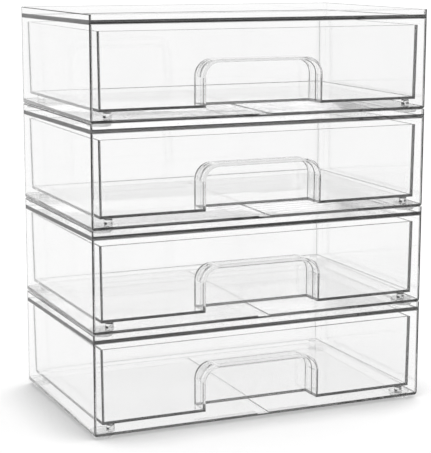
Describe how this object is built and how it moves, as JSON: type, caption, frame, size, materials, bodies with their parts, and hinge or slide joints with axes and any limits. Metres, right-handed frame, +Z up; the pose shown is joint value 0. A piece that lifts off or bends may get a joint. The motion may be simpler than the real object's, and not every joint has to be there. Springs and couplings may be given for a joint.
{
  "type": "makeup organizer drawers",
  "caption": "Stack of clear open-fronted plastic cases on round pads, each with a pull-out drawer that has an arched finger recess",
  "frame": {"origin": "on the surface that the lowest pads stand on, under the middle of the stack", "axes": "+Z up the stack, +X along the width to the right, and the open fronts of the cases face -Y, the way that the drawers pull out"},
  "size_m": [0.318, 0.1906, 0.359],
  "materials": {
    "clear_case": "clear, polished moulding, with grey edges where the light is turned aside",
    "clear_drawer": "clear, polished moulding",
    "soft_clear_pad": "frosted soft clear rubber"
  },
  "bodies": {
    "bottom_case_unit": {"bottom_case": "clear_case", "bottom_case_front_left_pad": "soft_clear_pad", "bottom_case_front_right_pad": "soft_clear_pad", "bottom_case_rear_left_pad": "soft_clear_pad", "bottom_case_rear_right_pad": "soft_clear_pad"},
    "bottom_drawer_unit": {"bottom_drawer": "clear_drawer"},
    "second_case_unit": {"second_case": "clear_case", "second_case_front_left_pad": "soft_clear_pad", "second_case_front_right_pad": "soft_clear_pad", "second_case_rear_left_pad": "soft_clear_pad", "second_case_rear_right_pad": "soft_clear_pad"},
    "second_drawer_unit": {"second_drawer": "clear_drawer"},
    "third_case_unit": {"third_case": "clear_case", "third_case_front_left_pad": "soft_clear_pad", "third_case_front_right_pad": "soft_clear_pad", "third_case_rear_left_pad": "soft_clear_pad", "third_case_rear_right_pad": "soft_clear_pad"},
    "third_drawer_unit": {"third_drawer": "clear_drawer"},
    "top_case_unit": {"top_case": "clear_case", "top_case_front_left_pad": "soft_clear_pad", "top_case_front_right_pad": "soft_clear_pad", "top_case_rear_left_pad": "soft_clear_pad", "top_case_rear_right_pad": "soft_clear_pad"},
    "top_drawer_unit": {"top_drawer": "clear_drawer"}
  },
  "joints": [
    {"name": "bottom_drawer_slide", "type": "slide", "parent": "bottom_case_unit", "child": "bottom_drawer_unit", "axis": [0, -1, 0], "range_m": [0, 0.1658]},
    {"name": "second_drawer_slide", "type": "slide", "parent": "second_case_unit", "child": "second_drawer_unit", "axis": [0, -1, 0], "range_m": [0, 0.1658]},
    {"name": "third_drawer_slide", "type": "slide", "parent": "third_case_unit", "child": "third_drawer_unit", "axis": [0, -1, 0], "range_m": [0, 0.1658]},
    {"name": "top_drawer_slide", "type": "slide", "parent": "top_case_unit", "child": "top_drawer_unit", "axis": [0, -1, 0], "range_m": [0, 0.1658]},
    {"name": "second_case_lift", "type": "slide", "parent": "bottom_case_unit", "child": "second_case_unit", "axis": [0, 0, 1], "range_m": [0, 0.05]},
    {"name": "third_case_lift", "type": "slide", "parent": "second_case_unit", "child": "third_case_unit", "axis": [0, 0, 1], "range_m": [0, 0.05]},
    {"name": "top_case_lift", "type": "slide", "parent": "third_case_unit", "child": "top_case_unit", "axis": [0, 0, 1], "range_m": [0, 0.05]}
  ]
}
